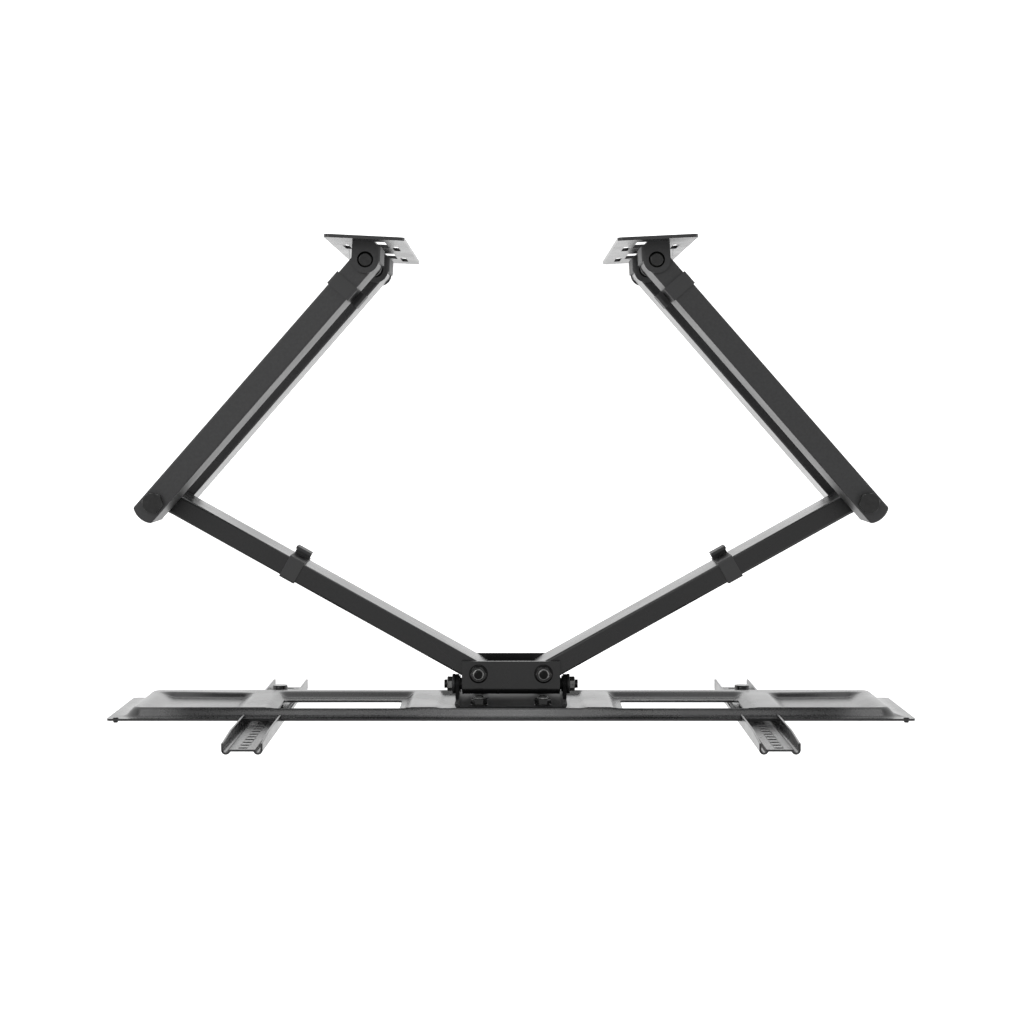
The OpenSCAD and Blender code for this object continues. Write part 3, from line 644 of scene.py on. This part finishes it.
# A clip: the band's thickness, play and outer corners, and the trough with its lip
BAND, BAND_GAP, BAND_R = 1.5, 0.1, 2.4
TROUGH_DEPTH, TROUGH_REACH, TROUGH_R, TROUGH_INNER_R = 7, 11, 2, 1
LIP_WIDTH, LIP_R = 1.3, 0.8


def arm_run(near, far):
    """Angle to +X in degrees and length in mm from pivot to pivot, as on the right half."""
    dx, dy = abs(far.x) - abs(near.x), far.y - near.y
    return math.degrees(math.atan2(dy, dx)), math.hypot(dx, dy) / MM


def make_bar(name, body, place, length, bar, low, high):
    """A square tube, closed with soft edges and round ends, and the plugs in its ends."""
    half, near_r, far_r = bar["half"], bar["near_r"], bar["far_r"]
    near, far = (math.degrees(math.asin(half / r)) for r in (near_r, far_r))
    outline = arc(0, 0, near_r, 180 - near, 180 + near, 16) + arc(length, 0, far_r, -far, far, 16)
    tube = cut_sheet(name, body, STEEL, [outline], low, high, place, edge=BAR_EDGE, segments=BAR_EDGE_STEPS)
    plugs = []
    for end, x, r, middle in (("near", 0, near_r, 180), ("far", length, far_r, 0)):
        reach = math.degrees(math.asin((half - PLUG_INSET) / r))
        outline = (arc(x, 0, r + PLUG_PROUD, middle - reach, middle + reach, 12)
                   + arc(x, 0, r - PLUG_DEPTH, middle + reach, middle - reach, 12))
        plugs.append(cut_sheet("plug_%s_%s" % (end, name), body, PLASTIC, [outline],
                               low + PLUG_DROP, high - PLUG_DROP, place, edge=0.2))
    return tube, plugs


def make_clip(name, body, place, length, bar, low, high):
    """A plastic band round a bar with an open trough for a cord on its wall or inner side."""
    hole_y, hole_low, hole_high = bar["half"] + BAND_GAP, low - BAND_GAP, high + BAND_GAP
    side, under, over = hole_y + BAND, hole_low - BAND, hole_high + BAND
    floor, back = side + TROUGH_DEPTH, side + TROUGH_DEPTH + BAND
    bottom, top = (low + high) / 2 - TROUGH_REACH, (low + high) / 2 + TROUGH_REACH
    outer = (arc(BAND_R - side, under + BAND_R, BAND_R, 180, 270)
             + arc(side - BAND_R, under + BAND_R, BAND_R, 270, 360)
             + [(side, bottom)] + arc(back - TROUGH_R, bottom + TROUGH_R, TROUGH_R, 270, 360)
             + arc(back - LIP_R, top - LIP_R, LIP_R, 0, 90, 4)
             + [(floor - LIP_WIDTH, top), (floor - LIP_WIDTH, top - BAND), (floor, top - BAND)]
             + arc(floor - TROUGH_INNER_R, bottom + BAND + TROUGH_INNER_R, TROUGH_INNER_R, 0, -90, 4)
             + [(side, bottom + BAND)]
             + arc(side - BAND_R, over - BAND_R, BAND_R, 0, 90)
             + arc(BAND_R - side, over - BAND_R, BAND_R, 90, 180))
    hole = [(-hole_y, hole_low), (hole_y, hole_low), (hole_y, hole_high), (-hole_y, hole_high)]
    middle, half_length = length - bar["clip_back"], bar["clip_length"] / 2
    return cut_sheet(name, body, PLASTIC, [outer, hole], middle - half_length, middle + half_length,
                     lambda u, v, w: place(w, u, v), edge=0.35)


def make_wall_arm(name, side):
    elbow = joint_place("elbow_" + name)
    angle, length = arm_run(elbow, joint_place("wall_pivot_" + name))
    place = local_frame(elbow, angle, side)
    body = "wall_arm_" + name
    for level, low, high in WALL_LEVELS:
        bar, plugs = make_bar("bar_%s_%s" % (level, name), body, place, length, WALL_BAR, low, high)
        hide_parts("wall_arm_%s_%s" % (level, name))
        if level == "upper":
            recoat(bar, UPPER_STEEL)
            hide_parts("wall_arm_plugs_" + name)
            clip = make_clip("wall_trough_" + name, body, place, length, WALL_BAR, low, high)
            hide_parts("wall_arm_clip_" + name)


def make_screen_arm(name, side):
    head = joint_place("head_pivot_" + name)
    angle, length = arm_run(head, joint_place("elbow_" + name))
    place = local_frame(head, angle, side)
    body = "tv_arm_" + name
    bar, plugs = make_bar("screen_bar_" + name, body, place, length, SCREEN_BAR, *SCREEN_LEVEL)
    # The screen bar gets the shaded coat, whose darker colour is painted shade.
    recoat(bar, SHADED_STEEL)
    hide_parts("tv_arm_" + name)
    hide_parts("tv_arm_plugs_" + name)
    clip = make_clip("screen_trough_" + name, body, place, length, SCREEN_BAR, *SCREEN_LEVEL)
    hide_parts("tv_arm_clip_" + name)


# Wall plates. In a wall plate's own axes, x runs along the wall, y toward it and z up

WALL_TURN = 2.8
WALL_SHEET = {"half": 35.5, "height": 330, "t": 3, "corner": 5}
LAG_R, LAG_FROM_MIDDLE = 4.5, 145
LEVEL_SLOT = {"half_x": 12, "half_z": 4.5, "heights": (57.25, 189.5)}
UPRIGHT_SLOT = {"x": 22.7, "half_x": 3, "below": 43.7, "above": 12.3}
BRACKET_WINDOW = {"x": (-16.8, -6.3), "height": 72, "below_top": 1.5, "corner": 0.8}

# What stays straight at a slot's round ends
SLOT_FLAT = 0.05

# The bent brackets: thickness, height, bend radius, the web's and the ears' reach from the pivot along the
# wall, and the reach to the wall plate. Their levels are the heights of their lower faces
BRACKET = {"t": 2.5, "h": 67, "bend": 4, "web": 13.3, "ear": 12.2, "reach": 16}
BRACKET_LEVELS = (("upper", 232.5), ("lower", 79.5))

# An ear's round end stops at an angle in degrees, and the web stands back from the plate between its feet
EAR_END, FOOT_WIDTH, FOOT_SLOPE, FOOT_HEIGHT = 354, 20, 4, 3.75
UPPER_HOLE_R, LOWER_HOLE_R = 7.2, 4.3

# The pivot pins: how far they stand above and below the bracket, their radii, and the head's height and
# round edge as (inward from its radius, below its top)
PIN_ABOVE, PIN_BELOW, PIN_SHANK_R, PIN_HEAD_R, PIN_HEAD_H = 0.3, 10.7, 4, 5.7, 3
PIN_HEAD_ROUND = ((0, 0.45), (0.35, 0.1), (0.8, 0))
PIN_TIP_BEVEL = 0.5
PIN_SEAT_DROP = 3.1
PIN_SEAT_PROFILE = [(6.8, 0), (7.1, 0.2), (7.1, 0.7), (6.8, 0.9)]
PIN_WASHER_T = 1.2
PIN_WASHER_PROFILE = [(7.7, 0), (8, 0.3), (8, 0.9), (7.7, PIN_WASHER_T)]


def make_wall_sheet(name, body, place):
    half, height, back = WALL_SHEET["half"], WALL_SHEET["height"], BRACKET["reach"]
    loops = [round_box(-half, half, 0, height, WALL_SHEET["corner"])]
    loops += [circle(0, height / 2 + z, LAG_R) for z in (-LAG_FROM_MIDDLE, LAG_FROM_MIDDLE)]
    half_x, half_z = LEVEL_SLOT["half_x"], LEVEL_SLOT["half_z"]
    loops += [round_box(-half_x, half_x, z - half_z, z + half_z, half_z - SLOT_FLAT)
              for z in LEVEL_SLOT["heights"]]
    half_x = UPRIGHT_SLOT["half_x"]
    for level, low in BRACKET_LEVELS:
        top = low + BRACKET["h"] - BRACKET_WINDOW["below_top"]
        loops.append(round_box(*BRACKET_WINDOW["x"], top - BRACKET_WINDOW["height"], top,
                               BRACKET_WINDOW["corner"]))
        loops += [round_box(x - half_x, x + half_x, low - UPRIGHT_SLOT["below"], low + UPRIGHT_SLOT["above"],
                            half_x - SLOT_FLAT) for x in (-UPRIGHT_SLOT["x"], UPRIGHT_SLOT["x"])]
    plate = cut_sheet("wall_sheet_" + name, body, STEEL, loops, back, back + WALL_SHEET["t"],
                      lambda u, v, w: place(u, w, v))
    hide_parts("wall_plate_" + name)


def make_bracket(level, low, name, body, place):
    """A U bent from one sheet, with an ear above and below the bar and feet on the wall plate."""
    ear, bend, reach = BRACKET["ear"], BRACKET["bend"], BRACKET["reach"]
    straight = ear + BRACKET["web"] - bend
    path = (ear, BRACKET["h"], 180,
            (straight, (90, bend), BRACKET["h"] - 2 * bend, (90, bend), straight))
    lines, whole = bend_lines(path)
    upper_ear = arc(ear, 0, ear, 180, EAR_END, 28)
    lower_ear = [(whole - u, v) for u, v in upper_ear[::-1]]
    web_y, web_u = reach - FOOT_HEIGHT, FOOT_WIDTH + FOOT_SLOPE
    outline = ([(0, reach)] + upper_ear + lower_ear
               + [(whole, reach), (whole - FOOT_WIDTH, reach), (whole - web_u, web_y),
                  (web_u, web_y), (FOOT_WIDTH, reach)])
    holes = [circle(ear, 0, UPPER_HOLE_R), circle(whole - ear, 0, LOWER_HOLE_R)]

    def on_bracket(u, v, w):
        x, z = bent(path, u, w)
        return place(x, v, low + z)
    bracket = cut_sheet("bent_bracket_%s_%s" % (level, name), body, STEEL, [outline] + holes,
                        0, BRACKET["t"], on_bracket, edge=0.35, cuts=lines)
    recoat(bracket, BENT_STEEL)
    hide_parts("wall_bracket_%s_%s" % (level, name))


def make_pin(level, low, name, body, wall):
    """A pivot pin with a flat head, its seat in the upper ear and its washer under the lower ear."""
    def on_axis(height):
        return wall.x, wall.y, height * MM
    seat = lathe("pin_seat_%s_%s" % (level, name), body, PLASTIC,
                 on_axis(low + BRACKET["h"] - PIN_SEAT_DROP), UP, PIN_SEAT_PROFILE)
    # The seat gets the near black, a painted shadow in the gap round the pin head.
    recoat(seat, PAINTED_SHADE_BLACK)
    top = BRACKET["h"] + PIN_ABOVE + PIN_BELOW
    neck = top - PIN_HEAD_H
    profile = [(PIN_SHANK_R - PIN_TIP_BEVEL, 0), (PIN_SHANK_R, PIN_TIP_BEVEL), (PIN_SHANK_R, neck),
               (PIN_HEAD_R, neck)]
    profile += [(PIN_HEAD_R - inward, top - drop) for inward, drop in PIN_HEAD_ROUND]
    pin = lathe("pin_%s_%s" % (level, name), body, HARDWARE, on_axis(low - PIN_BELOW), UP, profile)
    soften(pin, 0.15)
    washer = lathe("pin_washer_%s_%s" % (level, name), body, HARDWARE,
                   on_axis(low - PIN_WASHER_T), UP, PIN_WASHER_PROFILE)
    if level == "upper":
        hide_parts("wall_pivot_bolts_" + name)
        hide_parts("wall_pivot_washers_" + name)


def make_wall_side(name, side):
    """A wall plate, its bent brackets and their pins."""
    wall = joint_place("wall_pivot_" + name)
    place = local_frame(wall, WALL_TURN, side)
    body = "wall_plate_" + name
    make_wall_sheet(name, body, place)
    for level, low in BRACKET_LEVELS:
        make_bracket(level, low, name, body, place)
        make_pin(level, low, name, body, wall)


# The tilting screen bracket: a U whose ears stand on the tilt studs and whose base lies in the plate's seat

EAR_X, EAR_T, EAR_R, EAR_HOLE_R, BEND_R = 48.5, 3.2, 9, 4.3, 6.7
BASE_HALF, BASE_BEVEL = 57, 3

# The outline between an ear's tip and the base, as (distance from the tilt axis, half width)
WAIST = ((9, 15), (12.5, 21))

# The bolts: their radius, their end and its bevel, and the head, whose dome is (radius, height) pairs
PLATE_NUT = {"across": 13, "flange_r": 8, "height": 7, "bore": 4}
BOLT_R, BOLT_TIP, BOLT_TIP_BEVEL, BOLT_HEAD_R = 4, 8.6, 0.4, 8
BOLT_DOME = ((7.6, 1.4), (6, 2.7), (3.5, 3.2))
PLATE_THREAD = {"from": 7.2, "length": 1.4, "pitch": 0.9}


def make_screen_bracket():
    outer = EAR_X + EAR_T
    drop = EAR_R + PANEL_FORWARD + SEAT_DEPTH
    path = (-outer, EAR_R, 270,
            (drop - BEND_R, (90, BEND_R), 2 * (outer - BEND_R), (90, BEND_R), drop - BEND_R))
    lines, whole = bend_lines(path)
    tip = arc(EAR_R, 0, EAR_R, 270, 90, 24)
    neck = [(EAR_R + u, v) for u, v in WAIST]
    base_u = neck[-1][0]
    half = neck + [(base_u, BASE_HALF - BASE_BEVEL), (base_u + BASE_BEVEL, BASE_HALF)]
    top = half + [(whole - u, v) for u, v in half[::-1]]
    outline = tip + top + [(whole - u, -v) for u, v in tip] + [(whole - u, -v) for u, v in top]
    loops = [outline] + [circle(u, 0, EAR_HOLE_R) for u in (EAR_R, whole - EAR_R)]
    loops += [circle(whole / 2 + x, z, BOLT_HOLE_R) for x, z in BOLT_PLACES]

    def place(u, v, w):
        x, y = bent(path, u, w)
        return Vector((x * MM, TILT.y + y * MM, TILT.z + v * MM))
    bracket = cut_sheet("bent_screen_bracket", "screen_side", STEEL, loops, 0, EAR_T, place, cuts=lines)
    # The bracket gets the matt coat, whose dark colour is painted shade under the head.
    recoat(bracket, MATT_SHADE_STEEL)
    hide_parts("tv_bracket")


def make_plate_bolts():
    """Four domed bolts through the plate and the bracket, with flange nuts on the wall side."""
    head = SEAT_DEPTH + SHEET
    profile = [(BOLT_R - BOLT_TIP_BEVEL, -BOLT_TIP), (BOLT_R, BOLT_TIP_BEVEL - BOLT_TIP), (BOLT_R, head),
               (BOLT_HEAD_R, head)]
    profile += [(r, head + h) for r, h in BOLT_DOME]
    for k, (x, z) in enumerate(BOLT_PLACES):
        seat = plate_place(x, 0, z)
        nut = flange_nut("plate_%d" % k, "screen_side", seat, TO_WALL, **PLATE_NUT)
        bolt = lathe("plate_bolt_%d" % k, "screen_side", HARDWARE, seat, TO_SCREEN, profile)
        thread_ridge("plate_thread_%d" % k, "screen_side", plate_place(x, PLATE_THREAD["from"], z), TO_WALL,
                     BOLT_R, PLATE_THREAD["length"], PLATE_THREAD["pitch"])
        if k == 0:
            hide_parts("tv_bracket_nuts")
            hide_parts("tv_bracket_bolts")


# The ends of the tilt axis, with distances out from the head's side tabs

TILT_STUD_R, TILT_PITCH = 4, 1.25
TILT_NUT = {"across": 12, "from": 9.9, "to": 14.9, "bevel": 0.4, "collar": 0.7}
SPOOL_PROFILE = [(7.4, 0), (7.8, 0.3), (7.8, 1.0), (5.6, 1.2),
                 (5.6, 2.1), (7.8, 2.3), (7.8, 3.0), (7.4, 3.3)]
DISC_PROFILE = [(8.9, 6.9), (9.3, 7.3), (9.3, 9.5), (8.9, 9.9)]


def make_tilt_ends():
    """A spool inside each ear, a friction disc outside it, and a nut on the stud."""
    head_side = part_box("head_channel")[1].x
    stud_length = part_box("tilt_studs")[1].x - head_side
    half, start, end = TILT_NUT["across"] / 2, TILT_NUT["from"], TILT_NUT["to"]
    corner = half / math.cos(math.pi / 6)
    nut_profile = [(corner - 0.3, start), (corner, start + TILT_NUT["bevel"]),
                   (corner, end - TILT_NUT["collar"]), (half - 0.2, end)]
    for name, side in SIDES:
        out = (side, 0, 0)
        hub = Vector((side * head_side, TILT.y, TILT.z))
        spool = lathe("tilt_spool_" + name, "head", PLASTIC, hub, out, SPOOL_PROFILE)
        lathe("tilt_disc_" + name, "head", PLASTIC, hub, out, DISC_PROFILE)
        nut = lathe("tilt_hex_" + name, "head", HARDWARE, hub, out, nut_profile, segments=6)
        soften(nut, 0.3)
        # The nut gets the pale metallic black, a painted highlight.
        recoat(nut, PAINTED_GLINT_BLACK)
        thread_ridge("tilt_thread_" + name, "head", hub + Vector(out) * end * MM, out,
                     TILT_STUD_R, stud_length / MM - end, TILT_PITCH)
        if side == -1:
            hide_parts("tilt_washers")
            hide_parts("tilt_nuts")


# Small details on the CAD nodes. A profile is (radius, height) pairs

HEAD_FLANGE_PROFILE = [(8.6, 0), (8.6, 0.6), (8.1, 1.1), (6.2, 1.7)]
HEAD_COLLAR_PROFILE = [(5.3, 0.3), (5.1, 1.1), (4.4, 1.5)]
HEAD_TIP_PROFILE = [(3.7, 0), (3.7, 0.7), (3.2, 1.0)]
COLLAR_DROP, TIP_DROP, HEAD_THREAD_RISE = 0.5, 0.6, 0.1
PIN_NUT_END = 7.7

# The radius, visible length and pitch of the threads
HEAD_THREAD, ELBOW_THREAD, PIN_THREAD = (4, 1.5, 0.9), (5, 3, 1.5), (4, 3, 1.25)

GRIP_BACK, GRIP_RIDGES, GRIP_RIDGE = 9, 30, 0.3
GRIP_PROFILE = [(6.5, 0.3), (6.9, 0.9), (6.9, 8.1), (6.5, 8.7)]
WELD_ENDS, WELD_BACK, WELD_R = (-4.5, 11.3), 15.9, 1.3


def make_head_nut_details(name):
    """The flange, collar and bolt end of the nut on top of a head pivot."""
    head = joint_place("head_pivot_" + name)
    nut_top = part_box("head_pivot_nuts")[1].z
    # The flange and the bolt end get the near black, which is painted shade, and the collar gets the pale metallic
    # black, which is a painted highlight.
    rings = (("flange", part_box("head_channel")[1].z, HEAD_FLANGE_PROFILE, PAINTED_SHADE_BLACK),
             ("collar", nut_top - COLLAR_DROP * MM, HEAD_COLLAR_PROFILE, PAINTED_GLINT_BLACK),
             ("tip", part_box("head_pivot_bolts")[1].z - TIP_DROP * MM, HEAD_TIP_PROFILE, PAINTED_SHADE_BLACK))
    for ring, z, profile, coat in rings:
        recoat(lathe("head_%s_%s" % (ring, name), "head", HARDWARE, (head.x, head.y, z), UP, profile), coat)
    thread_ridge("head_thread_" + name, "head", (head.x, head.y, nut_top + HEAD_THREAD_RISE * MM), UP,
                 *HEAD_THREAD)


def make_arm_threads(name):
    """The bolt ends that show under the nuts of an elbow and of a wall pivot."""
    elbow, wall = joint_place("elbow_" + name), joint_place("wall_pivot_" + name)
    nut_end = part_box("elbow_nut_" + name)[0].z
    thread_ridge("elbow_thread_" + name, "wall_arm_" + name, (elbow.x, elbow.y, nut_end), DOWN,
                 *ELBOW_THREAD)
    for level, low in BRACKET_LEVELS:
        thread_ridge("pin_thread_%s_%s" % (level, name), "wall_plate_" + name,
                     (wall.x, wall.y, (low - PIN_NUT_END) * MM), DOWN, *PIN_THREAD)


def make_knob_grip(name):
    low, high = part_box("lock_screw_" + name)
    middle = (low + high) / 2
    base = (middle.x, high.y - GRIP_BACK * MM, middle.z)
    lathe("knob_grip_" + name, "rail_" + name, HARDWARE, base, TO_WALL, GRIP_PROFILE,
          ridges=GRIP_RIDGES, ridge=GRIP_RIDGE)


def make_welds(name, side):
    """Weld beads between the bracket's ears and the wall plate, inside the U."""
    place = local_frame(joint_place("wall_pivot_" + name), WALL_TURN, side)
    for level, low in BRACKET_LEVELS:
        for edge_name, z in (("over", low + BRACKET["t"]), ("under", low + BRACKET["h"] - BRACKET["t"])):
            start, end = (place(x, WELD_BACK, z) for x in WELD_ENDS)
            weld_bead("weld_%s_%s_%s" % (level, edge_name, name), "wall_plate_" + name, start, end, WELD_R)


# Surroundings, in metres. A lamp has a place, a width, watts and, where it is wide and low, a height

FLOOR_HALF, FLOOR_GAP, FLOOR_GREY, FLOOR_GLOW = 6, 0.0002, 0.85, 0.9
WORLD_LIGHT, WORLD_SEEN = 0.55, 1.0
LAMP_AIM = (0, 0, 0.2)
LAMPS = [
    ("key", (-1.2, 0.9, 2.4), 1.2, 14, None),
    ("fill", (1.6, -1.2, 1.8), 1.4, 8, None),
    ("back_strip", (0, 2.4, 0.6), 2.6, 22, 0.7),
    ("left_strip", (-2.4, -0.2, 0.6), 1.6, 6, 0.6),
    ("right_strip", (2.4, -0.2, 0.6), 1.6, 6, 0.6),
]


def seen_or_reflected(nodes, links):
    """1 for the camera's rays and for reflections, and 0 for the rest."""
    path = nodes.new("ShaderNodeLightPath")
    seen = nodes.new("ShaderNodeMath")
    seen.operation = "MAXIMUM"
    links.new(path.outputs["Is Camera Ray"], seen.inputs[0])
    links.new(path.outputs["Is Glossy Ray"], seen.inputs[1])
    return seen.outputs[0]


def floor_material():
    """A matt pale grey that adds a glow to the camera and in reflections, so it looks white there."""
    material = bpy.data.materials.new("floor")
    material.use_nodes = True
    nodes, links = material.node_tree.nodes, material.node_tree.links
    nodes.clear()
    matt = nodes.new("ShaderNodeBsdfDiffuse")
    matt.inputs["Color"].default_value = (*grey(FLOOR_GREY), 1)
    glow = nodes.new("ShaderNodeEmission")
    glow.inputs["Color"].default_value = (1, 1, 1, 1)
    glow.inputs["Strength"].default_value = FLOOR_GLOW
    both = nodes.new("ShaderNodeAddShader")
    links.new(matt.outputs[0], both.inputs[0])
    links.new(glow.outputs[0], both.inputs[1])
    mix = nodes.new("ShaderNodeMixShader")
    links.new(seen_or_reflected(nodes, links), mix.inputs["Fac"])
    links.new(matt.outputs[0], mix.inputs[1])
    links.new(both.outputs[0], mix.inputs[2])
    out = nodes.new("ShaderNodeOutputMaterial")
    links.new(mix.outputs[0], out.inputs["Surface"])
    return material


def make_floor():
    """A white floor that keeps a soft shadow."""
    half = FLOOR_HALF
    mesh = bpy.data.meshes.new("floor")
    corners = [(-half, -half, 0), (half, -half, 0), (half, half, 0), (-half, half, 0)]
    mesh.from_pydata(corners, [], [(0, 1, 2, 3)])
    mesh.materials.append(floor_material())
    floor = add_object("floor", mesh)
    floor.location.z = cad_box[0].z - FLOOR_GAP


def make_world():
    """White to the camera and in reflections, softer as a light."""
    world = bpy.data.worlds.new("studio")
    bpy.context.scene.world = world
    world.use_nodes = True
    nodes, links = world.node_tree.nodes, world.node_tree.links
    back = nodes["Background"]
    back.inputs["Color"].default_value = (1, 1, 1, 1)
    level = nodes.new("ShaderNodeMapRange")
    level.inputs["To Min"].default_value = WORLD_LIGHT
    level.inputs["To Max"].default_value = WORLD_SEEN
    links.new(seen_or_reflected(nodes, links), level.inputs["Value"])
    links.new(level.outputs["Result"], back.inputs["Strength"])


def area_light(name, place, width, watts, height):
    """A round softbox, or a wide low one where its height is given."""
    data = bpy.data.lights.new(name, "AREA")
    data.shape = "RECTANGLE" if height else "DISK"
    data.size = width
    if height:
        data.size_y = height
    data.energy = watts
    lamp = add_object(name, data)
    lamp.location = place
    lamp.rotation_euler = (Vector(LAMP_AIM) - Vector(place)).to_track_quat("-Z", "Y").to_euler()


make_camera()
make_floor()
make_world()
for settings in LAMPS:
    area_light(*settings)
dress_cad_nodes()
make_plate()
make_plate_stops()
make_screen_bracket()
make_plate_bolts()
make_tilt_ends()
for name, side in SIDES:
    make_wall_arm(name, side)
    make_screen_arm(name, side)
    make_wall_side(name, side)
    make_head_nut_details(name)
    make_arm_threads(name)
    make_knob_grip(name)
    make_welds(name, side)

bpy.context.scene.view_settings.view_transform = "Standard"
